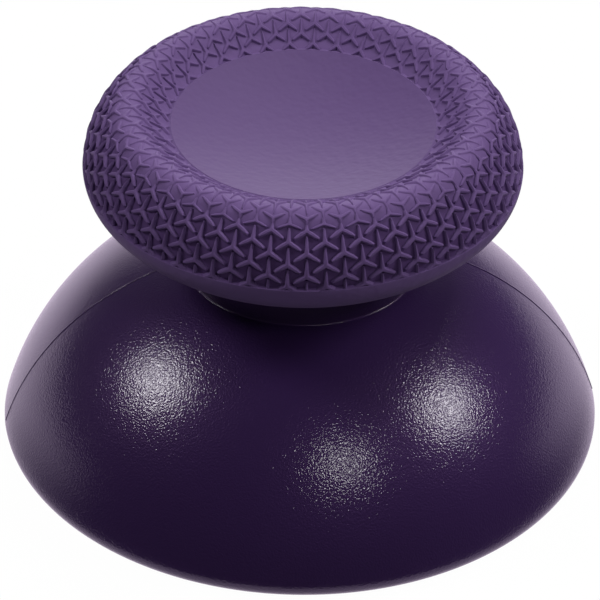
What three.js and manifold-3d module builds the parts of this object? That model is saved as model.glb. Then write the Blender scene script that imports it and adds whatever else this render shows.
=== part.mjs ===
// Thumbstick cap of a game controller, in millimetres, standing on the foot of its dome with +Z up.
// A hard moulded dome body carries a soft grip, which is moulded over the head on its neck.
import * as THREE from "three";
import { mergeGeometries, mergeVertices } from "three/addons/utils/BufferGeometryUtils.js";
import Module from "manifold-3d";

const segments = 72; // facets round the axis, shared by both pieces so that they seat face to face
const degree = Math.PI / 180;
const weld = 1e-4; // points closer than this are one

// Dome: its outer section is a crown arc that leaves the neck and runs into the rounded foot edge
const domeRadius = 11.5;
const domeWall = 1.1;
const crownRadius = 10.56;
const crownSteps = 9;
const footEdgeRadius = 0.5;
const footEdgeSteps = 4;
const roofSteps = 5;
const neckRadius = 4.6;
const neckFootHeight = 7.77;

// Boss with the double-D socket for the stick's shaft, and the gussets that tie it to the dome
const bossRadius = 3.2;
const bossMouthHeight = 1.6;
const socketRadius = 2.05;
const socketFlats = 3.1;
const socketDepth = 6.5;
const socketSteps = 6;
const gussetCount = 4;
const gussetThickness = 0.9;
const gussetFootHeight = 4.7;

// Head on the neck: a disc under the dish, which the soft grip wraps
const headRadius = 5.8;
const headThickness = 1.3;

// Grip: the section of its rim is a chain of tangent arcs, and inside it lies a shallow dish
const rimRadius = 8.37;
const rimHeight = 12.1; // height of the widest circle
const outerArcRadius = 2.9;
const outerArcSpan = 54 * degree;
const crestArcRadius = 1.05;
const innerSlope = 32 * degree; // fall of the rim towards the dish
const lowerArcRadius = 1.4;
const lowerArcSpan = 40 * degree;
const undersideArcRadius = 3.5;
const undersideSlope = 18 * degree;
const dishEdgeRadius = 5.02;
const dishDepth = 0.9;
const gripSkin = 0.9; // soft material between the dish and the head
const lowerSteps = 2;
const undersideSteps = 2;
const dishSteps = 4;

// Star relief on the rim: three-armed stars in staggered rows, with pockets sunk between the arms.
// Each row's place is its length along the rim's section, from the dish's edge outward.
// Stars up to the turning row point their single arm outward, and those after it point it at the dish.
const starCount = 36; // stars in each row
const starRows = [0.3, 0.72, 1.15, 1.58, 2.03, 2.38, 2.57, 2.82, 3.27, 3.71, 4.15, 4.59, 5.03];
const turningRow = 5;
const reliefEnd = 5.17; // the smooth band starts here
const pocketDepth = 0.16;
const armTipDepth = 0.05;
const armReach = 0.72; // share of the way to the next star that an arm covers

const wasm = await Module();
wasm.setup();

const gripMaterial = new THREE.MeshStandardMaterial({ color: 0x685480, roughness: 0.75, metalness: 0 });
const domeMaterial = new THREE.MeshStandardMaterial({ color: 0x2b1a40, roughness: 0.35, metalness: 0 });

// Points (radius, height) on an arc, with angles from the outward horizontal
function arc(centreR, centreZ, radius, start, end, steps) {
  const points = [];
  for (let i = 0; i <= steps; i += 1) {
    const angle = start + ((end - start) * i) / steps;
    points.push(new THREE.Vector2(centreR + radius * Math.cos(angle), centreZ + radius * Math.sin(angle)));
  }
  return points;
}

// Solid of revolution about Z from a profile of (radius, height) that starts and ends on the axis
function revolve(profile) {
  return new THREE.LatheGeometry(profile, segments).rotateX(Math.PI / 2);
}

function toSolid(geometry) {
  const bare = geometry.clone();
  bare.deleteAttribute("normal");
  bare.deleteAttribute("uv");
  const merged = mergeVertices(bare, weld);
  return new wasm.Manifold(
    new wasm.Mesh({
      numProp: 3,
      vertProperties: merged.attributes.position.array,
      triVerts: new Uint32Array(merged.index.array),
    }),
  );
}

function toGeometry(solid) {
  const mesh = solid.getMesh();
  const geometry = new THREE.BufferGeometry();
  geometry.setAttribute("position", new THREE.BufferAttribute(mesh.vertProperties, 3));
  geometry.setIndex(new THREE.BufferAttribute(mesh.triVerts, 1));
  const faceted = geometry.toNonIndexed();
  faceted.computeVertexNormals();
  return faceted;
}

// Crown arc: it passes through the neck's foot and touches the foot edge arc from inside
const footEdgeCentre = new THREE.Vector2(domeRadius - footEdgeRadius, footEdgeRadius);
const neckFoot = new THREE.Vector2(neckRadius, neckFootHeight);

function crownCentre() {
  const toNeck = crownRadius;
  const toEdge = crownRadius - footEdgeRadius;
  const across = neckFoot.clone().sub(footEdgeCentre);
  const span = across.length();
  const along = (toEdge ** 2 - toNeck ** 2 + span ** 2) / (2 * span);
  const aside = Math.sqrt(toEdge ** 2 - along ** 2);
  const unit = across.divideScalar(span);
  return new THREE.Vector2(
    footEdgeCentre.x + unit.x * along - unit.y * aside,
    footEdgeCentre.y + unit.y * along + unit.x * aside,
  );
}

const crown = crownCentre();
const crownStart = Math.atan2(neckFoot.y - crown.y, neckFoot.x - crown.x);
const crownEnd = Math.atan2(footEdgeCentre.y - crown.y, footEdgeCentre.x - crown.x);

// Rim section of the grip
const outerCentre = new THREE.Vector2(rimRadius - outerArcRadius, rimHeight);
const crestCentre = new THREE.Vector2(
  outerCentre.x + (outerArcRadius - crestArcRadius) * Math.cos(outerArcSpan),
  outerCentre.y + (outerArcRadius - crestArcRadius) * Math.sin(outerArcSpan),
);
const crestEnd = Math.PI / 2 + innerSlope;
const lowerCentre = new THREE.Vector2(rimRadius - lowerArcRadius, rimHeight);
const undersideCentre = new THREE.Vector2(
  lowerCentre.x + (lowerArcRadius - undersideArcRadius) * Math.cos(lowerArcSpan),
  lowerCentre.y - (lowerArcRadius - undersideArcRadius) * Math.sin(lowerArcSpan),
);
const undersideEnd = -Math.PI / 2 + undersideSlope;

const lowerArc = arc(lowerCentre.x, lowerCentre.y, lowerArcRadius, 0, -lowerArcSpan, lowerSteps);
const undersideArc = arc(
  undersideCentre.x,
  undersideCentre.y,
  undersideArcRadius,
  -lowerArcSpan,
  undersideEnd,
  undersideSteps,
);

const slopeTop = new THREE.Vector2(
  crestCentre.x + crestArcRadius * Math.cos(crestEnd),
  crestCentre.y + crestArcRadius * Math.sin(crestEnd),
);
const dishEdge = new THREE.Vector2(
  dishEdgeRadius,
  slopeTop.y - (slopeTop.x - dishEdgeRadius) * Math.tan(innerSlope),
);
const slopeLength = slopeTop.distanceTo(dishEdge);
const crestLength = crestArcRadius * (crestEnd - outerArcSpan);
const outerLength = outerArcRadius * outerArcSpan;
const dishCentreHeight = dishEdge.y - dishDepth;
const undersideLip = undersideArc[undersideArc.length - 1];
const neckTop = new THREE.Vector2(
  neckRadius,
  undersideLip.y - (undersideLip.x - neckRadius) * Math.tan(undersideSlope),
);

// Head, seated in the grip
const headTopHeight = dishCentreHeight - gripSkin;
const headFootHeight = headTopHeight - headThickness;

// The dish is a shallow bowl: one arc from its centre out to its edge
function dishProfile(steps) {
  const bowlRadius = (dishEdgeRadius ** 2 + dishDepth ** 2) / (2 * dishDepth);
  const edgeAngle = Math.asin(dishEdgeRadius / bowlRadius);
  return arc(0, dishCentreHeight + bowlRadius, bowlRadius, -Math.PI / 2, edgeAngle - Math.PI / 2, steps);
}

function domeBody() {
  const outer = revolve([
    new THREE.Vector2(0, 0),
    ...arc(footEdgeCentre.x, footEdgeCentre.y, footEdgeRadius, -Math.PI / 2, crownEnd, footEdgeSteps),
    ...arc(crown.x, crown.y, crownRadius, crownEnd, crownStart, crownSteps).slice(1),
    new THREE.Vector2(neckRadius, neckTop.y),
    new THREE.Vector2(neckRadius, headFootHeight),
    new THREE.Vector2(headRadius, headFootHeight),
    new THREE.Vector2(headRadius, headTopHeight),
    new THREE.Vector2(0, headTopHeight),
  ]);
  return toGeometry(toSolid(outer).subtract(hollow()).subtract(socket()));
}

// The room inside the dome, round the boss and between the gussets
function hollow() {
  const below = -domeWall;
  const innerRadius = crownRadius - domeWall;
  const roofStart = Math.acos((bossRadius - crown.x) / innerRadius);
  const roof = arc(crown.x, crown.y, innerRadius, crownEnd, roofStart, roofSteps);
  const room = toSolid(
    revolve([
      new THREE.Vector2(0, below),
      new THREE.Vector2(roof[0].x, below),
      ...roof,
      new THREE.Vector2(bossRadius, bossMouthHeight),
      new THREE.Vector2(0, bossMouthHeight),
    ]),
  );
  let open = room;
  for (let i = 0; i < gussetCount; i += 1) {
    const turn = ((i + 0.5) * 2 * Math.PI) / gussetCount;
    const plate = new THREE.BoxGeometry(domeRadius, gussetThickness, neckFootHeight - gussetFootHeight);
    plate.translate(domeRadius / 2, 0, (neckFootHeight + gussetFootHeight) / 2);
    plate.rotateZ(turn);
    open = open.subtract(toSolid(plate));
  }
  return open;
}

// Double-D socket, open at the boss's mouth
function socket() {
  const half = Math.asin(socketFlats / 2 / socketRadius);
  const outline = new THREE.Shape();
  for (let i = 0; i <= socketSteps; i += 1) {
    const angle = -half + (2 * half * i) / socketSteps;
    outline[i ? "lineTo" : "moveTo"](socketRadius * Math.cos(angle), socketRadius * Math.sin(angle));
  }
  for (let i = 0; i <= socketSteps; i += 1) {
    const angle = Math.PI - half + (2 * half * i) / socketSteps;
    outline.lineTo(socketRadius * Math.cos(angle), socketRadius * Math.sin(angle));
  }
  const bore = new THREE.ExtrudeGeometry(outline, {
    depth: socketDepth + bossMouthHeight,
    bevelEnabled: false,
  });
  return toSolid(bore);
}

// Point (radius, height) on the rim's section at a length from the dish's edge, sunk below the surface
function rimPoint(length, depth) {
  const intoCrest = length - slopeLength;
  const intoOuter = intoCrest - crestLength;
  const intoLower = intoOuter - outerLength;
  let centre = lowerCentre;
  let radius = lowerArcRadius;
  let angle = -intoLower / lowerArcRadius;
  if (intoCrest < 0) {
    centre = slopeTop;
    radius = 0;
    angle = crestEnd;
  } else if (intoOuter < 0) {
    centre = crestCentre;
    radius = crestArcRadius;
    angle = crestEnd - intoCrest / crestArcRadius;
  } else if (intoLower < 0) {
    centre = outerCentre;
    radius = outerArcRadius;
    angle = outerArcSpan - intoOuter / outerArcRadius;
  }
  const along = Math.min(intoCrest, 0);
  return new THREE.Vector2(
    centre.x + (radius - depth) * Math.cos(angle) + along * Math.cos(innerSlope),
    centre.y + (radius - depth) * Math.sin(angle) + along * Math.sin(innerSlope),
  );
}

// Shell of the rim between the dish's edge and the smooth band, in columns that are half a star apart
function starShell() {
  const columns = 2 * starCount;
  const positions = [];
  const indices = [];
  const known = new Map();

  function vertex(name, column, length, depth) {
    if (!known.has(name)) {
      const point = rimPoint(length, depth);
      const angle = (column * 2 * Math.PI) / columns;
      known.set(name, positions.length / 3);
      positions.push(point.x * Math.cos(angle), point.x * Math.sin(angle), point.y);
    }
    return known.get(name);
  }

  // A column's corners are its stars, between a point of each plain border circle
  function cornersOf(column) {
    const wrapped = column % columns;
    const stars = starRows
      .map((length, row) => ({ column, row, length, name: `${wrapped} ${row}` }))
      .filter((star) => (star.row + column) % 2 === 0);
    return [
      { column, row: -1, length: 0, name: `${wrapped} inner`, border: true },
      ...stars,
      { column, row: starRows.length + 1, length: reliefEnd, name: `${wrapped} outer`, border: true },
    ];
  }

  // Between two stars runs the arm of one of them, an arm that both share, or none.
  // The tip is a share of the way from the corner nearer to the dish.
  function armTip(near, far) {
    const upright = near.column === far.column;
    if (near.border) {
      return { share: 0.5, depth: upright ? pocketDepth : armTipDepth };
    }
    if (far.border) {
      return { share: 0.5, depth: upright ? armTipDepth : 0 };
    }
    const nearInside = near.row <= turningRow;
    if (nearInside && far.row > turningRow) {
      return { share: 0.5, depth: upright ? armTipDepth / 2 : pocketDepth };
    }
    return { share: upright === nearInside ? armReach : 1 - armReach, depth: armTipDepth };
  }

  function tipVertex(a, b) {
    const [near, far] = a.row < b.row ? [a, b] : [b, a];
    const { share, depth } = armTip(near, far);
    const column = near.column + (far.column - near.column) * share;
    const length = near.length + (far.length - near.length) * share;
    return vertex(`${near.name} to ${far.name}`, column, length, depth);
  }

  // Three corners, the arms between them and the pocket in their middle
  function addPanel(corners) {
    const outline = [];
    corners.forEach((corner, i) => {
      const next = corners[(i + 1) % corners.length];
      outline.push(vertex(corner.name, corner.column, corner.length, 0));
      if (!(corner.border && next.border)) {
        outline.push(tipVertex(corner, next));
      }
    });
    const middle = corners.reduce(
      (sum, corner) => ({ column: sum.column + corner.column / 3, length: sum.length + corner.length / 3 }),
      { column: 0, length: 0 },
    );
    const onBorder = corners.filter((corner) => corner.border).length > 1;
    const name = corners.map((corner) => corner.name).join(", ");
    const pocket = vertex(name, middle.column, middle.length, onBorder ? armTipDepth : pocketDepth);
    outline.forEach((point, i) => indices.push(pocket, point, outline[(i + 1) % outline.length]));
  }

  for (let column = 0; column < columns; column += 1) {
    const left = cornersOf(column);
    const right = cornersOf(column + 1);
    while (left.length > 1 || right.length > 1) {
      const [leftNow, leftNext] = left;
      const [rightNow, rightNext] = right;
      const leftFirst = leftNext && (!rightNext || leftNext.row + leftNow.row < rightNext.row + rightNow.row);
      if (leftFirst) {
        addPanel([leftNow, leftNext, rightNow]);
        left.shift();
      } else {
        addPanel([leftNow, rightNext, rightNow]);
        right.shift();
      }
    }
  }
  const shell = new THREE.BufferGeometry();
  shell.setAttribute("position", new THREE.Float32BufferAttribute(positions, 3));
  shell.setIndex(indices);
  return shell;
}

// Lower side with the pocket for the head, star shell and dish, which meet in the two border circles
function grip() {
  const underside = revolve([
    new THREE.Vector2(0, headTopHeight),
    new THREE.Vector2(headRadius, headTopHeight),
    new THREE.Vector2(headRadius, headFootHeight),
    new THREE.Vector2(neckRadius, headFootHeight),
    neckTop,
    ...undersideArc.slice().reverse(),
    ...lowerArc.slice(1, -1).reverse(),
    rimPoint(reliefEnd, 0),
  ]);
  const dish = revolve(dishProfile(dishSteps).reverse());
  const parts = [underside, starShell(), dish].map((part) => {
    const bare = part.toNonIndexed();
    bare.deleteAttribute("normal");
    bare.deleteAttribute("uv");
    return bare;
  });
  const whole = mergeVertices(mergeGeometries(parts), weld).toNonIndexed();
  whole.computeVertexNormals();
  return whole;
}

const cap = new THREE.Group();
const domeMesh = new THREE.Mesh(domeBody(), domeMaterial);
domeMesh.name = "dome_body";
const gripMesh = new THREE.Mesh(grip(), gripMaterial);
gripMesh.name = "grip";
cap.add(domeMesh, gripMesh);

export default cap;
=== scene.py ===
import math

import bpy
import numpy as np
from mathutils import Matrix, Vector


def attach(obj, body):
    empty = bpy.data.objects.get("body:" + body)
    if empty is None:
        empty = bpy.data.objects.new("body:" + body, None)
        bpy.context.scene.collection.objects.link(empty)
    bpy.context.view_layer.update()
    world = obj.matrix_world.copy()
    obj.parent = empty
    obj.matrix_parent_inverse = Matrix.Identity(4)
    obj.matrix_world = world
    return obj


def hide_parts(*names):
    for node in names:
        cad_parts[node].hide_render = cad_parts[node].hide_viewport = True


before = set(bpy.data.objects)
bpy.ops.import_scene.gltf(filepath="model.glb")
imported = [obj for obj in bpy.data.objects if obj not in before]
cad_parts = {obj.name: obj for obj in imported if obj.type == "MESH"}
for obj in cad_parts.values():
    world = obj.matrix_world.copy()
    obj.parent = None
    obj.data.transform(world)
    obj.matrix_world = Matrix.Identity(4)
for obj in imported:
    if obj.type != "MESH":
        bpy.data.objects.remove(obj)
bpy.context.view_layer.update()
print("frame loaded")

mm = 0.001
degree = math.pi / 180
tiny = 1e-8  # metres, taken as zero
weldDistance = 1e-7

# Shared by the dome and the grip
neckRadius = 4.6 * mm


def arc(centre, radius, start, end, steps):
    points = []
    for i in range(steps + 1):
        angle = start + (end - start) * i / steps
        points.append((centre[0] + radius * math.cos(angle), centre[1] + radius * math.sin(angle)))
    return points


def clearSelection():
    if bpy.context.object and bpy.context.object.mode != "OBJECT":
        bpy.ops.object.mode_set(mode="OBJECT")
    bpy.ops.object.select_all(action="DESELECT")


def spinProfile(name, profile, turnSteps):
    # The profile is a list of (radius, height)
    clearSelection()
    mesh = bpy.data.meshes.new(name)
    mesh.from_pydata([(r, 0, z) for r, z in profile], [(i, i + 1) for i in range(len(profile) - 1)], [])
    piece = bpy.data.objects.new(name, mesh)
    bpy.context.collection.objects.link(piece)
    bpy.context.view_layer.objects.active = piece
    piece.select_set(True)
    bpy.ops.object.mode_set(mode="EDIT")
    bpy.ops.mesh.select_all(action="SELECT")
    bpy.ops.mesh.spin(
        steps=turnSteps, dupli=False, angle=2 * math.pi, center=(0, 0, 0), axis=(0, 0, 1)
    )
    bpy.ops.mesh.select_all(action="SELECT")
    bpy.ops.mesh.remove_doubles(threshold=weldDistance)
    bpy.ops.mesh.normals_make_consistent(inside=False)
    bpy.ops.object.mode_set(mode="OBJECT")
    return piece


# Grip: the section of its rim is a chain of tangent arcs round a shallow dish
gripSizes = {
    "rimRadius": 8.37 * mm,
    "rimHeight": 12.1 * mm,
    "outerArcRadius": 2.9 * mm,
    "outerArcSpan": 54 * degree,
    "crestArcRadius": 1.05 * mm,
    "innerSlope": 32 * degree,
    "lowerArcRadius": 1.4 * mm,
    "lowerArcSpan": 40 * degree,
    "undersideArcRadius": 3.5 * mm,
    "undersideSlope": 18 * degree,
    "dishEdgeRadius": 5.02 * mm,
    "dishDepth": 0.9 * mm,
    "neckHollow": 0.5 * mm,  # height of the hollow that takes the neck's top
    "turnSteps": 288,
    "dishSteps": 24,
    "floorSteps": 60,
    "lowerSteps": 12,
    "undersideSteps": 16,
    # Lengths along the section, from the dish's edge
    "floorStart": 0.1 * mm,
    "crestMiddle": 2.0 * mm,
    "crestHalfWidth": 0.8 * mm,
    "floorTurnStart": 2.1 * mm,
    "floorTurnEnd": 3.3 * mm,
    "bandStart": 5.17 * mm,  # where the smooth band starts
    "floorStop": 0.03 * mm,  # before the band
    "floorDepthInside": 0.11 * mm,  # pockets on the dish's side
    "floorDepthCrest": 0.05 * mm,
    "floorDepthOutside": 0.19 * mm,
    "dishCreaseLength": 0.03 * mm,
    "dishCreaseDepth": 0.05 * mm,
    "bandEdgeDepth": 0.015 * mm,
    "bandEdgeLength": 0.02 * mm,
}

outerCentre = (gripSizes["rimRadius"] - gripSizes["outerArcRadius"], gripSizes["rimHeight"])
reach = gripSizes["outerArcRadius"] - gripSizes["crestArcRadius"]
crestCentre = (
    outerCentre[0] + reach * math.cos(gripSizes["outerArcSpan"]),
    outerCentre[1] + reach * math.sin(gripSizes["outerArcSpan"]),
)
crestEnd = math.pi / 2 + gripSizes["innerSlope"]
lowerCentre = (gripSizes["rimRadius"] - gripSizes["lowerArcRadius"], gripSizes["rimHeight"])
reach = gripSizes["lowerArcRadius"] - gripSizes["undersideArcRadius"]
undersideCentre = (
    lowerCentre[0] + reach * math.cos(gripSizes["lowerArcSpan"]),
    lowerCentre[1] - reach * math.sin(gripSizes["lowerArcSpan"]),
)
undersideEnd = -math.pi / 2 + gripSizes["undersideSlope"]
slopeTop = arc(crestCentre, gripSizes["crestArcRadius"], crestEnd, crestEnd, 1)[0]
dishEdge = (
    gripSizes["dishEdgeRadius"],
    slopeTop[1] - (slopeTop[0] - gripSizes["dishEdgeRadius"]) * math.tan(gripSizes["innerSlope"]),
)
dishDepth = gripSizes["dishDepth"]
bowlRadius = (gripSizes["dishEdgeRadius"] ** 2 + dishDepth**2) / (2 * dishDepth)
bowlAngle = math.asin(gripSizes["dishEdgeRadius"] / bowlRadius)
bowlCentre = (0, dishEdge[1] - dishDepth + bowlRadius)
bowlEnd = bowlAngle - math.pi / 2
print("dish edge height", dishEdge[1] / mm)

dishPoints = arc(bowlCentre, bowlRadius, -math.pi / 2, bowlEnd, gripSizes["dishSteps"])
lowerEnd = -gripSizes["lowerArcSpan"]
lowerPoints = arc(lowerCentre, gripSizes["lowerArcRadius"], 0, lowerEnd, gripSizes["lowerSteps"])
undersidePoints = arc(
    undersideCentre, gripSizes["undersideArcRadius"], lowerEnd, undersideEnd, gripSizes["undersideSteps"]
)
lip = undersidePoints[-1]
neckTop = (neckRadius, lip[1] - (lip[0] - neckRadius) * math.tan(gripSizes["undersideSlope"]))
hollowTop = neckTop[1] + gripSizes["neckHollow"]
slopeLength = math.hypot(slopeTop[0] - dishEdge[0], slopeTop[1] - dishEdge[1])
crestLength = gripSizes["crestArcRadius"] * (crestEnd - gripSizes["outerArcSpan"])
outerLength = gripSizes["outerArcRadius"] * gripSizes["outerArcSpan"]
print("section lengths", slopeLength / mm, crestLength / mm, outerLength / mm)


def rimPoint(length, height):
    # Radius and height on the rim's section at a length from the dish's edge, raised by a height
    length = np.asarray(length, float)
    intoCrest = length - slopeLength
    intoOuter = intoCrest - crestLength
    intoLower = intoOuter - outerLength
    centres = [slopeTop, crestCentre, outerCentre, lowerCentre]
    radii = [0, gripSizes["crestArcRadius"], gripSizes["outerArcRadius"], gripSizes["lowerArcRadius"]]
    where = [intoCrest < 0, intoOuter < 0, intoLower < 0, intoLower >= 0]
    angles = [
        np.full_like(length, crestEnd),
        crestEnd - intoCrest / gripSizes["crestArcRadius"],
        gripSizes["outerArcSpan"] - intoOuter / gripSizes["outerArcRadius"],
        -intoLower / gripSizes["lowerArcRadius"],
    ]
    angle = np.select(where, angles)
    radius = np.select(where, [np.full_like(length, r) for r in radii]) + height
    centreR = np.select(where, [np.full_like(length, c[0]) for c in centres])
    centreZ = np.select(where, [np.full_like(length, c[1]) for c in centres])
    along = np.minimum(intoCrest, 0)
    return (
        centreR + radius * np.cos(angle) + along * math.cos(gripSizes["innerSlope"]),
        centreZ + radius * np.sin(angle) + along * math.sin(gripSizes["innerSlope"]),
    )


def floorDepth(length):
    # Depth of the pockets: shallow over the crest, deeper towards the dish and deepest outside
    turnSpan = gripSizes["floorTurnEnd"] - gripSizes["floorTurnStart"]
    turn = (np.asarray(length, float) - gripSizes["floorTurnStart"]) / turnSpan
    turn = np.clip(turn, 0, 1)
    step = gripSizes["floorDepthOutside"] - gripSizes["floorDepthInside"]
    away = (np.asarray(length, float) - gripSizes["crestMiddle"]) / gripSizes["crestHalfWidth"]
    crest = (gripSizes["floorDepthInside"] - gripSizes["floorDepthCrest"]) * np.exp(-(away**2))
    return gripSizes["floorDepthInside"] + step * turn**2 * (3 - 2 * turn) - crest


def rimProfile(lengths, depths):
    r, z = rimPoint(np.array(lengths), -np.array(depths))
    return list(zip(r.tolist(), z.tolist()))


floorEnd = gripSizes["bandStart"] - gripSizes["floorStop"]
floorLengths = np.linspace(gripSizes["floorStart"], floorEnd, gripSizes["floorSteps"])
floorPoints = rimProfile(floorLengths, floorDepth(floorLengths))
gripProfile = (
    dishPoints
    + rimProfile([gripSizes["dishCreaseLength"]], [gripSizes["dishCreaseDepth"]])
    + floorPoints
    + rimProfile([gripSizes["bandStart"]], [gripSizes["bandEdgeDepth"]])
    + rimProfile([gripSizes["bandStart"] + gripSizes["bandEdgeLength"]], [0])
    + lowerPoints[1:]
    + undersidePoints[1:]
    + [neckTop, (neckRadius, hollowTop), (0, hollowTop)]
)
grip = spinProfile("gripSkin", gripProfile, gripSizes["turnSteps"])


def selectFaces(piece, wanted):
    # Selects, in edit mode, the faces whose centre and normal pass the test
    bpy.ops.object.mode_set(mode="OBJECT")
    for vertex in piece.data.vertices:
        vertex.select = False
    for edge in piece.data.edges:
        edge.select = False
    for face in piece.data.polygons:
        face.select = wanted(face.center, face.normal)
    bpy.ops.object.mode_set(mode="EDIT")
    bpy.ops.mesh.select_mode(type="FACE")


# Star relief: a three-armed star in staggered rows, each row at its length along the rim's section
starSizes = {
    "perRow": 36,
    "rows": [0.30, 0.72, 1.15, 1.58, 2.03, 2.38, 2.57, 2.82, 3.27, 3.71, 4.15, 4.59, 5.03, 5.47],
    "turningRow": 5,
    "rowHalfPitch": 0.44 * mm,
    "armWidth": 0.205 * mm,
    "armWidthInside": 0.215 * mm,
    "armRootShare": 0.8,
    "armSegments": 3,
    "tipWidthShare": 0.8,
    "tipEndShare": 0.7,
    "armReach": 0.78,
    "legReach": 0.71,
    "wallHeight": 0.115 * mm,
    "wallHeightInside": 0.03 * mm,
    "sinkIntoFloor": 0.03 * mm,
    "roofInset": 0.24,  # of the arm's width
    "roofRise": 0.075 * mm,
    "ridgeInset": 0.045,
    "ridgeRise": 0.006 * mm,
    "tipDrop": 0.05 * mm,
    "floorMargin": 0.01 * mm,
    "sharedArm": 0.7,  # arms are shorter where two rows meet at the crest
}

sideways = 0.5  # a normal with less height than this points to a side
alike = 0.9  # two normals whose product is above this point the same way


def makeStar(armWidth, wallHeight):
    # One star on the flat: an arm along +Y and two legs, closed, on the pocket's floor
    clearSelection()
    depth = wallHeight + starSizes["sinkIntoFloor"]
    bpy.ops.mesh.primitive_cylinder_add(
        vertices=3,
        radius=armWidth / math.sqrt(3),
        depth=depth,
        location=(0, 0, wallHeight - depth / 2),
        rotation=(0, 0, math.pi),
    )
    star = bpy.context.object
    bpy.ops.object.transform_apply(location=True, rotation=True, scale=True)
    hub = armWidth / math.sqrt(12)
    sides = [f.normal.copy() for f in star.data.polygons if abs(f.normal.z) < sideways]
    for outward in sides:
        isArm = outward.y > alike
        reach = starSizes["armReach"] if isArm else starSizes["legReach"]
        step = (2 * starSizes["rowHalfPitch"] * reach - hub) / starSizes["armSegments"]
        selectFaces(star, lambda centre, normal: normal.dot(outward) > alike)
        for i in range(starSizes["armSegments"]):
            bpy.ops.mesh.extrude_region_move(TRANSFORM_OT_translate={"value": tuple(outward * step)})
            share = 1 - (1 - starSizes["tipWidthShare"]) / starSizes["armSegments"]
            if isArm and i == 0:
                share *= starSizes["armRootShare"]
            if i == starSizes["armSegments"] - 1:
                share *= starSizes["tipEndShare"]
            bpy.ops.transform.resize(value=(share, share, 1))
    selectFaces(star, lambda centre, normal: normal.z > sideways)
    bpy.ops.mesh.inset(thickness=starSizes["roofInset"] * armWidth, depth=starSizes["roofRise"])
    bpy.ops.mesh.inset(thickness=starSizes["ridgeInset"] * armWidth, depth=starSizes["ridgeRise"])
    bpy.ops.object.mode_set(mode="OBJECT")
    return star


def flatMaster(star):
    # Points of one star, with the height as a share of the pocket's depth below the section
    points = np.array([v.co[:] for v in star.data.vertices])
    armLength = 2 * starSizes["rowHalfPitch"] * starSizes["armReach"]
    reach = np.hypot(points[:, 0], points[:, 1]) / armLength
    height = points[:, 2].max()
    aboveFloor = points[:, 2] > starSizes["floorMargin"]
    points[:, 2] -= np.where(aboveFloor, starSizes["tipDrop"] * reach, 0)
    points[:, 2] = points[:, 2] / height - 1
    faces = [list(p.vertices) for p in star.data.polygons]
    bpy.data.objects.remove(star)
    return points, faces


outsideStar = flatMaster(makeStar(starSizes["armWidth"], starSizes["wallHeight"]))
insideStar = flatMaster(makeStar(starSizes["armWidthInside"], starSizes["wallHeightInside"]))
print("stars of", len(outsideStar[0]), "and", len(insideStar[0]), "points")


def starSheet():
    # All stars in the flat: the angle, the length along the section and the height in pocket depths
    points = []
    allFaces = []
    lengths = np.array(starSizes["rows"]) * mm
    lattice = 2 * math.pi / (2 * starSizes["perRow"])
    for row, length in enumerate(lengths):
        radius = float(rimPoint(length, 0)[0])
        columnWidth = radius * lattice
        inverted = row <= starSizes["turningRow"]
        stretch = 2 / math.sqrt(3) * columnWidth / (2 * starSizes["rowHalfPitch"])
        if inverted:
            pitch = (lengths[min(row + 2, starSizes["turningRow"] + 2)] - length) / 2
            legPitch = length - lengths[row - 1] if row else starSizes["rowHalfPitch"]
        else:
            pitch = (length - lengths[max(row - 2, starSizes["turningRow"] - 1)]) / 2
            legPitch = lengths[row + 1] - length if row + 1 < len(lengths) else starSizes["rowHalfPitch"]
        shared = starSizes["turningRow"] - 1 <= row <= starSizes["turningRow"] + 2
        armScale = pitch / starSizes["rowHalfPitch"] * (starSizes["sharedArm"] if shared else 1)
        legScale = legPitch / starSizes["rowHalfPitch"]
        master, faces = insideStar if inverted else outsideStar
        local = master.copy()
        local[:, 0] *= stretch
        local[:, 1] *= np.where(local[:, 1] > 0, armScale, legScale)
        outwardSign = 1 if inverted else -1
        for column in range(row % 2, 2 * starSizes["perRow"], 2):
            start = len(points)
            block = np.stack(
                [
                    column * lattice + outwardSign * local[:, 0] / columnWidth * lattice,
                    length + outwardSign * local[:, 1],
                    local[:, 2],
                ],
                -1,
            )
            points.extend(block.tolist())
            allFaces.extend([[start + k for k in face] for face in faces])
    return np.array(points), allFaces


sheetPoints, sheetFaces = starSheet()
r, z = rimPoint(sheetPoints[:, 1], sheetPoints[:, 2] * floorDepth(sheetPoints[:, 1]))
wrapped = np.stack([r * np.cos(sheetPoints[:, 0]), r * np.sin(sheetPoints[:, 0]), z], -1)
mesh = bpy.data.meshes.new("stars")
mesh.from_pydata(wrapped.tolist(), [], sheetFaces)
stars = bpy.data.objects.new("stars", mesh)
bpy.context.collection.objects.link(stars)
clearSelection()
bpy.context.view_layer.objects.active = stars
stars.select_set(True)
bpy.ops.object.mode_set(mode="EDIT")
bpy.ops.mesh.select_all(action="SELECT")
bpy.ops.mesh.normals_make_consistent(inside=False)
bpy.ops.object.mode_set(mode="OBJECT")
clearSelection()

# The pockets' floor is marked for painted shade in the material: its colour is darkened there, fully on
# the rim's outer side
floorR, floorZ = rimPoint(floorLengths, -floorDepth(floorLengths))
floorShare = (floorDepth(floorLengths) - gripSizes["floorDepthInside"]) / (
    gripSizes["floorDepthOutside"] - gripSizes["floorDepthInside"]
)
floorShare = np.clip(floorShare, 0, 1)
nearby = 0.001 * mm
pocket = grip.data.attributes.new("pocket", "FLOAT", "POINT")
for vertex in grip.data.vertices:
    away = np.hypot(floorR - math.hypot(vertex.co.x, vertex.co.y), floorZ - vertex.co.z)
    nearest = int(np.argmin(away))
    pocket.data[vertex.index].value = float(floorShare[nearest]) if away[nearest] < nearby else 0
stars.data.attributes.new("pocket", "FLOAT", "POINT")
stars.select_set(True)
grip.select_set(True)
bpy.context.view_layer.objects.active = grip
bpy.ops.object.join()
print("grip made", sum(len(p.vertices) - 2 for p in grip.data.polygons), "triangles")

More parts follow.
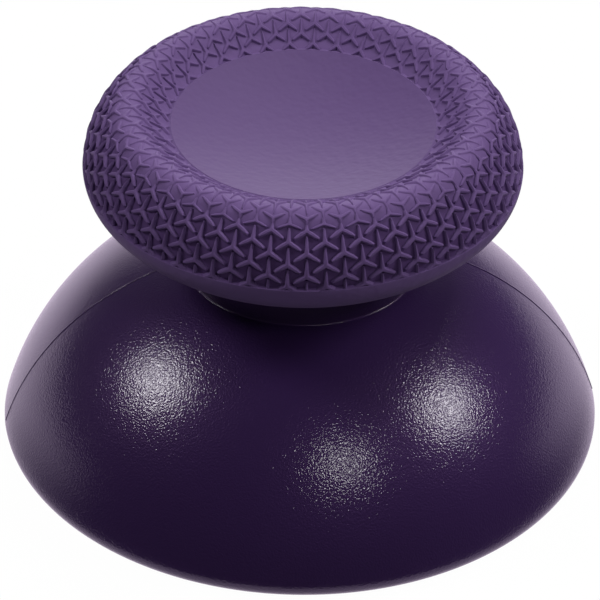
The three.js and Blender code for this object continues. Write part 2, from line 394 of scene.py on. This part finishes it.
# Dome
domeSizes = {
    "radius": 11.5 * mm,
    "wall": 1.1 * mm,
    "crownRadius": 10.56 * mm,
    "footEdgeRadius": 0.5 * mm,
    "neckFootHeight": 7.77 * mm,
    "neckFillet": 0.1 * mm,
    "neckFilletSteps": 6,
    "halfDraft": 0.012,  # how far each mould half leans in from the parting plane
    "seamWidth": 0.07 * mm,
    "seamHeight": 0.02 * mm,
    "seamBevel": 0.024 * mm,
    "seamBevelSteps": 2,
    "seamRoot": 0.1 * mm,
    "seamEnd": 0.02,  # angle by which it stops short of the neck
    "crownSteps": 40,
    "footEdgeSteps": 10,
    "turnSteps": 288,
}

footEdge = domeSizes["footEdgeRadius"]
footCentre = (domeSizes["radius"] - footEdge, footEdge)
neckFoot = (neckRadius, domeSizes["neckFootHeight"])
acrossR = neckFoot[0] - footCentre[0]
acrossZ = neckFoot[1] - footCentre[1]
span = math.hypot(acrossR, acrossZ)
toEdge = domeSizes["crownRadius"] - footEdge
along = (toEdge**2 - domeSizes["crownRadius"] ** 2 + span**2) / (2 * span)
aside = math.sqrt(toEdge**2 - along**2)
crown = (
    footCentre[0] + acrossR / span * along - acrossZ / span * aside,
    footCentre[1] + acrossZ / span * along + acrossR / span * aside,
)
crownStart = math.atan2(neckFoot[1] - crown[1], neckFoot[0] - crown[0])
crownEnd = math.atan2(footCentre[1] - crown[1], footCentre[0] - crown[0])
footPoints = arc(footCentre, footEdge, -math.pi / 2, crownEnd, domeSizes["footEdgeSteps"])
crownPoints = arc(crown, domeSizes["crownRadius"], crownEnd, crownStart, domeSizes["crownSteps"])


def fillet(points, radius, steps):
    # Rounds the corner between the crown and the upright neck
    centreR = neckRadius + radius
    reach = domeSizes["crownRadius"] + radius
    centreZ = crown[1] + math.sqrt(reach**2 - (centreR - crown[0]) ** 2)
    meet = math.atan2(centreZ - crown[1], centreR - crown[0])
    kept = [p for p in points if math.atan2(p[1] - crown[1], p[0] - crown[0]) < meet]
    return kept + arc((centreR, centreZ), radius, meet + math.pi, math.pi, steps)


# Boss, socket and gussets under the dome
bossSizes = {
    "radius": 3.2 * mm,
    "mouthHeight": 1.6 * mm,
    "socketRadius": 2.05 * mm,
    "socketFlats": 3.1 * mm,
    "socketDepth": 6.5 * mm,
    "leadIn": 0.2 * mm,
    "gussetCount": 4,
    "gussetThickness": 0.9 * mm,
    "gussetFootHeight": 4.7 * mm,
    "gussetSteps": 16,
    "sunk": 0.4 * mm,  # how far added parts reach into the shell
}

# Outline of the whole section, from the top of the neck down and back up through the room to the axis
innerRadius = domeSizes["crownRadius"] - domeSizes["wall"]
roofStart = math.acos((bossSizes["radius"] - crown[0]) / innerRadius)
roofPoints = arc(crown, innerRadius, crownEnd, roofStart, domeSizes["crownSteps"])
socketEnd = bossSizes["mouthHeight"] + bossSizes["socketDepth"]
domeProfile = (
    [(0, neckTop[1] + bossSizes["sunk"]), (neckRadius, neckTop[1] + bossSizes["sunk"])]
    + list(reversed(fillet(crownPoints, domeSizes["neckFillet"], domeSizes["neckFilletSteps"])))
    + list(reversed(footPoints))[1:]
    + roofPoints
    + [
        (bossSizes["radius"], bossSizes["mouthHeight"]),
        (bossSizes["socketRadius"] + bossSizes["leadIn"], bossSizes["mouthHeight"]),
        (bossSizes["socketRadius"], bossSizes["mouthHeight"] + bossSizes["leadIn"]),
        (bossSizes["socketRadius"], socketEnd),
        (0, socketEnd),
    ]
)
dome = spinProfile("domeShell", domeProfile, domeSizes["turnSteps"])

# Each mould half leans in a little from the parting plane, which leaves a crease there
for vertex in dome.data.vertices:
    if math.hypot(vertex.co.x, vertex.co.y) > neckRadius:
        vertex.co.x *= 1 - domeSizes["halfDraft"] * abs(vertex.co.y) / domeSizes["radius"]
for edge in dome.data.edges:
    ends = [dome.data.vertices[i].co for i in edge.vertices]
    edge.select = all(abs(end.y) < tiny and abs(end.x) > neckRadius for end in ends)
for vertex in dome.data.vertices:
    vertex.select = False
for face in dome.data.polygons:
    face.select = False
clearSelection()
dome.select_set(True)
bpy.context.view_layer.objects.active = dome
bpy.ops.object.mode_set(mode="EDIT")
bpy.ops.mesh.select_mode(type="EDGE")
bpy.ops.mesh.mark_sharp()
bpy.ops.object.mode_set(mode="OBJECT")


def plate(name, outline, thickness, turn):
    # An outline of (radius, height) extruded to both sides of its plane and turned about the axis
    clearSelection()
    mesh = bpy.data.meshes.new(name)
    mesh.from_pydata([(r, thickness / 2, z) for r, z in outline], [], [list(range(len(outline)))])
    piece = bpy.data.objects.new(name, mesh)
    bpy.context.collection.objects.link(piece)
    bpy.context.view_layer.objects.active = piece
    piece.select_set(True)
    bpy.ops.object.mode_set(mode="EDIT")
    bpy.ops.mesh.select_all(action="SELECT")
    bpy.ops.mesh.extrude_region_move(TRANSFORM_OT_translate={"value": (0, -thickness, 0)})
    bpy.ops.mesh.select_all(action="SELECT")
    bpy.ops.mesh.normals_make_consistent(inside=False)
    bpy.ops.object.mode_set(mode="OBJECT")
    piece.rotation_euler = (0, 0, turn)
    bpy.ops.object.transform_apply(location=True, rotation=True, scale=True)
    return piece


added = []
sunkRoof = innerRadius + bossSizes["sunk"]
footSide = crown[0] + math.sqrt(sunkRoof**2 - (bossSizes["gussetFootHeight"] - crown[1]) ** 2)
gussetStart = math.atan2(bossSizes["gussetFootHeight"] - crown[1], footSide - crown[0])
gussetEnd = math.acos((bossSizes["radius"] - crown[0]) / sunkRoof)
gussetOutline = arc(crown, sunkRoof, gussetStart, gussetEnd, bossSizes["gussetSteps"])
gussetOutline += [
    (bossSizes["radius"] - bossSizes["sunk"], gussetOutline[-1][1]),
    (bossSizes["radius"] - bossSizes["sunk"], bossSizes["gussetFootHeight"]),
]
for i in range(bossSizes["gussetCount"]):
    turn = (i + 0.5) * 2 * math.pi / bossSizes["gussetCount"]
    added.append(plate("gusset", gussetOutline, bossSizes["gussetThickness"], turn))

# The two flats of the double-D socket fill its round wall out
flatHalf = bossSizes["socketFlats"] / 2
chordHalf = math.sqrt(bossSizes["socketRadius"] ** 2 - flatHalf**2)
flatThickness = bossSizes["socketRadius"] - flatHalf + bossSizes["sunk"]
flatOutline = [
    (-chordHalf, bossSizes["mouthHeight"] + bossSizes["leadIn"]),
    (chordHalf, bossSizes["mouthHeight"] + bossSizes["leadIn"]),
    (chordHalf, socketEnd + bossSizes["sunk"]),
    (-chordHalf, socketEnd + bossSizes["sunk"]),
]
for turn in (0, math.pi):
    flat = plate("flat", flatOutline, flatThickness, 0)
    flat.location = (0, flatHalf + flatThickness / 2, 0)
    bpy.ops.object.transform_apply(location=True, rotation=True, scale=True)
    flat.rotation_euler = (0, 0, turn)
    bpy.ops.object.transform_apply(location=True, rotation=True, scale=True)
    added.append(flat)

# Parting line: a hair of flash along both mould halves' meeting
seamStop = crownStart - domeSizes["seamEnd"]
seamOutside = domeSizes["crownRadius"] + domeSizes["seamHeight"]
seamInside = domeSizes["crownRadius"] - domeSizes["seamRoot"]
seamTop = arc(crown, seamOutside, crownEnd, seamStop, domeSizes["crownSteps"])
seamBase = arc(crown, seamInside, seamStop, crownEnd, domeSizes["crownSteps"])
for turn in (0, math.pi):
    seam = plate("seam", seamTop + seamBase, domeSizes["seamWidth"], turn)
    rounding = seam.modifiers.new("rounding", "BEVEL")
    rounding.width = domeSizes["seamBevel"]
    rounding.segments = domeSizes["seamBevelSteps"]
    rounding.limit_method = "ANGLE"
    bpy.ops.object.modifier_apply(modifier=rounding.name)
    added.append(seam)

clearSelection()
for piece in added:
    piece.select_set(True)
dome.select_set(True)
bpy.context.view_layer.objects.active = dome
bpy.ops.object.join()
print("dome made", sum(len(p.vertices) - 2 for p in dome.data.polygons), "triangles")

# Looks
gripLook = {
    "colour": (0.144, 0.085, 0.232),
    # Painted shade: the pocket floors get a darker colour that stands in for the shade falling in the
    # pockets
    "pocketShadeColour": (0.1, 0.053, 0.168),
    "sheen": 0.08,
    "sheenRoughness": 0.4,
    "sheenTint": (0.9, 0.8, 1, 1),
    "roughness": 0.62,
    "specular": 0.1,
    "specularTint": (1, 0.95, 1, 1),
    "grainScale": 2900,
    "grainDepth": 0.028 * mm,
}
# The dish is smoother than the rim, and a little darker
dishLook = {
    "colour": (0.112, 0.0655, 0.182),
    "roughness": 0.55,
    "edgeStart": 5.0 * mm,
    "edgeEnd": 5.15 * mm,
}
domeLook = {
    "colour": (0.033, 0.0138, 0.069),
    "roughness": 0.36,
    "specular": 0.28,
    "specularTint": (0.75, 0.42, 1, 1),
    "polish": 0.78,  # the grain's polished faces, over the duller ground
    "polishRoughness": 0.06,
    "grainScale": 13500,
    "grainDepth": 0.0145 * mm,
}


def mapRange(nodes, links, source, fromMin, fromMax, toMin, toMax):
    node = nodes.new("ShaderNodeMapRange")
    node.interpolation_type = "SMOOTHSTEP"
    node.inputs["From Min"].default_value = fromMin
    node.inputs["From Max"].default_value = fromMax
    node.inputs["To Min"].default_value = toMin
    node.inputs["To Max"].default_value = toMax
    links.new(source, node.inputs["Value"])
    return node.outputs["Result"]


def mathNode(nodes, links, operation, first, second):
    node = nodes.new("ShaderNodeMath")
    node.operation = operation
    for socket, value in zip(node.inputs, (first, second)):
        if isinstance(value, (int, float)):
            socket.default_value = value
        else:
            links.new(value, socket)
    return node.outputs[0]


def grainedMaterial(name, look):
    material = bpy.data.materials.new(name)
    material.use_nodes = True
    nodes = material.node_tree.nodes
    links = material.node_tree.links
    shader = nodes["Principled BSDF"]
    shader.inputs["Base Color"].default_value = (*look["colour"], 1)
    shader.inputs["Roughness"].default_value = look["roughness"]
    shader.inputs["Specular IOR Level"].default_value = look["specular"]
    shader.inputs["Specular Tint"].default_value = look["specularTint"]
    coordinates = nodes.new("ShaderNodeTexCoord")
    grain = nodes.new("ShaderNodeTexNoise")
    grain.inputs["Scale"].default_value = look["grainScale"]
    grain.inputs["Detail"].default_value = 1.0
    bump = nodes.new("ShaderNodeBump")
    bump.inputs["Strength"].default_value = 1.0
    bump.inputs["Distance"].default_value = look["grainDepth"]
    links.new(coordinates.outputs["Object"], grain.inputs["Vector"])
    links.new(grain.outputs["Fac"], bump.inputs["Height"])
    links.new(bump.outputs["Normal"], shader.inputs["Normal"])
    return material


gripMaterial = grainedMaterial("gripRubber", gripLook)
nodes = gripMaterial.node_tree.nodes
links = gripMaterial.node_tree.links
shader = nodes["Principled BSDF"]
coordinates = nodes.new("ShaderNodeTexCoord")
flatten = nodes.new("ShaderNodeVectorMath")
flatten.operation = "MULTIPLY"
flatten.inputs[1].default_value = (1, 1, 0)
distance = nodes.new("ShaderNodeVectorMath")
distance.operation = "LENGTH"
links.new(coordinates.outputs["Object"], flatten.inputs[0])
links.new(flatten.outputs[0], distance.inputs[0])
outside = mapRange(
    nodes, links, distance.outputs["Value"], dishLook["edgeStart"], dishLook["edgeEnd"], 0, 1
)
colourMix = nodes.new("ShaderNodeMix")
colourMix.data_type = "RGBA"
colourMix.inputs["A"].default_value = (*dishLook["colour"], 1)
colourMix.inputs["B"].default_value = (*gripLook["colour"], 1)
links.new(outside, colourMix.inputs["Factor"])
# Painted shade: the pocket mark darkens the pocket floors towards the darker pocket colour
pocketShadeMark = nodes.new("ShaderNodeAttribute")
pocketShadeMark.attribute_name = "pocket"
pocketShadeMix = nodes.new("ShaderNodeMix")
pocketShadeMix.data_type = "RGBA"
pocketShadeMix.inputs["B"].default_value = (*gripLook["pocketShadeColour"], 1)
links.new(pocketShadeMark.outputs["Fac"], pocketShadeMix.inputs["Factor"])
links.new(colourMix.outputs["Result"], pocketShadeMix.inputs["A"])
links.new(pocketShadeMix.outputs["Result"], shader.inputs["Base Color"])
shader.inputs["Sheen Weight"].default_value = gripLook["sheen"]
shader.inputs["Sheen Roughness"].default_value = gripLook["sheenRoughness"]
shader.inputs["Sheen Tint"].default_value = gripLook["sheenTint"]
roughness = mapRange(nodes, links, outside, 0, 1, dishLook["roughness"], gripLook["roughness"])
links.new(roughness, shader.inputs["Roughness"])
domeMaterial = grainedMaterial("domePlastic", domeLook)
shader = domeMaterial.node_tree.nodes["Principled BSDF"]
shader.inputs["Coat Weight"].default_value = domeLook["polish"]
shader.inputs["Coat Roughness"].default_value = domeLook["polishRoughness"]
domeMaterial.node_tree.links.new(
    shader.inputs["Normal"].links[0].from_socket, shader.inputs["Coat Normal"]
)

smoothAngle = 28 * degree
for piece, node, slot, material in (
    (grip, "grip", "grip_rubber", gripMaterial),
    (dome, "dome_body", "dome_plastic", domeMaterial),
):
    piece.data.materials.append(material)
    clearSelection()
    piece.select_set(True)
    bpy.context.view_layer.objects.active = piece
    bpy.ops.object.shade_smooth_by_angle(angle=smoothAngle)
    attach(piece, "root")
    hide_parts(node)
print("looks set")

# Stage: the room is white to the camera. In reflections it is white behind the object and close
# under its foot, and dark in front.
room = {
    "floorSize": 4,
    "lampAim": 6 * mm,  # height that the lamps point at
    "floorShare": 0.93,
    "floorLight": 1.06,
    "floorColour": (0.2, 0.2, 0.2, 1),
    "reflectedColour": (0.94, 0.8, 1.0, 1),
    "ambient": 0.036,
    "darkReflection": 0.02,
    "behindStart": -8 * mm,
    "behindEnd": 5 * mm,
    "ringStart": 12.2 * mm,
    "ringEnd": 13.5 * mm,
    "skyStart": 0.87,
    "skyEnd": 1.0,
    "horizonTop": 0.35,
    "horizonFoot": 0.1,
}

clearSelection()
bpy.ops.mesh.primitive_plane_add(size=room["floorSize"], location=(0, 0, 0))
floor = bpy.context.object
floor.name = "stageFloor"
floorMaterial = bpy.data.materials.new("stageFloor")
floorMaterial.use_nodes = True
nodes = floorMaterial.node_tree.nodes
links = floorMaterial.node_tree.links
nodes.clear()
output = nodes.new("ShaderNodeOutputMaterial")
diffuse = nodes.new("ShaderNodeBsdfDiffuse")
diffuse.inputs["Color"].default_value = room["floorColour"]
emission = nodes.new("ShaderNodeEmission")
path = nodes.new("ShaderNodeLightPath")
coordinates = nodes.new("ShaderNodeTexCoord")
separate = nodes.new("ShaderNodeSeparateXYZ")
links.new(coordinates.outputs["Object"], separate.inputs[0])
length = nodes.new("ShaderNodeVectorMath")
length.operation = "LENGTH"
links.new(coordinates.outputs["Object"], length.inputs[0])
behind = mapRange(
    nodes,
    links,
    separate.outputs["Y"],
    room["behindStart"],
    room["behindEnd"],
    room["darkReflection"],
    1,
)
ring = mapRange(nodes, links, length.outputs["Value"], room["ringStart"], room["ringEnd"], 1, 0)
reflected = mathNode(nodes, links, "MAXIMUM", behind, ring)
cameraRay = path.outputs["Is Camera Ray"]
glossyRay = path.outputs["Is Glossy Ray"]
seen = mathNode(nodes, links, "MAXIMUM", cameraRay, glossyRay)
share = mathNode(nodes, links, "MULTIPLY", seen, room["floorShare"])
lit = mathNode(nodes, links, "MULTIPLY", cameraRay, room["floorLight"])
strength = mathNode(nodes, links, "MAXIMUM", lit, reflected)
mix = nodes.new("ShaderNodeMixShader")
colour = nodes.new("ShaderNodeMix")
colour.data_type = "RGBA"
colour.inputs["A"].default_value = (1, 1, 1, 1)
colour.inputs["B"].default_value = room["reflectedColour"]
links.new(glossyRay, colour.inputs["Factor"])
links.new(colour.outputs["Result"], emission.inputs["Color"])
links.new(strength, emission.inputs["Strength"])
links.new(share, mix.inputs[0])
links.new(diffuse.outputs[0], mix.inputs[1])
links.new(emission.outputs[0], mix.inputs[2])
links.new(mix.outputs[0], output.inputs["Surface"])
floor.data.materials.append(floorMaterial)
print("stage made")

# World
world = bpy.data.worlds.new("studio")
bpy.context.scene.world = world
world.use_nodes = True
nodes = world.node_tree.nodes
links = world.node_tree.links
background = nodes["Background"]
path = nodes.new("ShaderNodeLightPath")
coordinates = nodes.new("ShaderNodeTexCoord")
separate = nodes.new("ShaderNodeSeparateXYZ")
links.new(coordinates.outputs["Generated"], separate.inputs[0])
behind = mapRange(nodes, links, separate.outputs["Y"], room["skyStart"], room["skyEnd"], 0, 1)
low = mapRange(nodes, links, separate.outputs["Z"], room["horizonFoot"], room["horizonTop"], 1, 0)
white = mathNode(nodes, links, "MULTIPLY", behind, low)
reflected = mathNode(nodes, links, "MAXIMUM", white, room["darkReflection"])
inReflection = mathNode(nodes, links, "MULTIPLY", reflected, path.outputs["Is Glossy Ray"])
seenOrReflected = mathNode(nodes, links, "MAXIMUM", inReflection, path.outputs["Is Camera Ray"])
strength = mathNode(nodes, links, "MAXIMUM", seenOrReflected, room["ambient"])
colour = nodes.new("ShaderNodeMix")
colour.data_type = "RGBA"
colour.inputs["A"].default_value = room["reflectedColour"]
colour.inputs["B"].default_value = (1, 1, 1, 1)
links.new(path.outputs["Is Camera Ray"], colour.inputs["Factor"])
links.new(colour.outputs["Result"], background.inputs["Color"])
links.new(strength, background.inputs["Strength"])

# Lamps, in degrees, metres and watts
lamps = {
    "left": {"azimuth": 171.1, "elevation": 42.5, "distance": 0.6, "diameter": 0.16, "power": 1.2},
    "right": {"azimuth": -12.1, "elevation": 37.8, "distance": 0.6, "diameter": 0.16, "power": 1.12},
    "front": {"azimuth": -73.5, "elevation": 43.5, "distance": 0.6, "diameter": 0.1, "power": 0.42},
    "overhead": {"azimuth": 50.0, "elevation": 62.0, "distance": 0.75, "diameter": 0.4, "power": 3.3},
    "back": {"azimuth": 84.0, "elevation": 20.0, "distance": 0.6, "diameter": 0.3, "power": 1.3},
}


def pointing(azimuth, elevation):
    flat = math.cos(elevation)
    return Vector((flat * math.cos(azimuth), flat * math.sin(azimuth), math.sin(elevation)))


for name, lamp in lamps.items():
    data = bpy.data.lights.new(name + "Lamp", "AREA")
    data.shape = "DISK"
    data.size = lamp["diameter"]
    data.energy = lamp["power"]
    light = bpy.data.objects.new(name + "Lamp", data)
    bpy.context.collection.objects.link(light)
    direction = pointing(lamp["azimuth"] * degree, lamp["elevation"] * degree)
    light.location = direction * lamp["distance"] + Vector((0, 0, room["lampAim"]))
    light.rotation_euler = direction.to_track_quat("Z", "Y").to_euler()
print("lamps set")

# Camera, from the photograph: the object's +X lies in the dome's parting plane
cameraView = {
    "azimuth": -96.31 * degree,
    "elevation": 35.74 * degree,
    "roll": 0.0123,
    "distance": 259.5 * mm,
    "scale": 25.969 / mm,  # pixels of the photo per metre at the target
    "photoPixels": 600,
    "targetAside": -0.0486 * mm,
    "targetHeight": 5.643 * mm,
    "sensor": 36.0,
    "clipStart": 10 * mm,
    "clipEnd": 20,
}
azimuth = cameraView["azimuth"]
elevation = cameraView["elevation"]
back = pointing(azimuth, elevation)
right = Vector((-math.sin(azimuth), math.cos(azimuth), 0))
up = back.cross(right)
turnedRight = right * math.cos(cameraView["roll"]) + up * math.sin(cameraView["roll"])
turnedUp = up * math.cos(cameraView["roll"]) - right * math.sin(cameraView["roll"])
target = right * cameraView["targetAside"] + Vector((0, 0, cameraView["targetHeight"]))
data = bpy.data.cameras.new("photoCamera")
data.sensor_width = cameraView["sensor"]
focalPixels = cameraView["scale"] * cameraView["distance"]
data.lens = focalPixels / cameraView["photoPixels"] * cameraView["sensor"]
data.clip_start = cameraView["clipStart"]
data.clip_end = cameraView["clipEnd"]
camera = bpy.data.objects.new("photoCamera", data)
bpy.context.collection.objects.link(camera)
place = target + back * cameraView["distance"]
camera.matrix_world = Matrix(
    (
        (turnedRight.x, turnedUp.x, back.x, place.x),
        (turnedRight.y, turnedUp.y, back.y, place.y),
        (turnedRight.z, turnedUp.z, back.z, place.z),
        (0, 0, 0, 1),
    )
)
bpy.context.scene.camera = camera
bpy.context.scene.view_settings.view_transform = "Standard"
print("camera set")
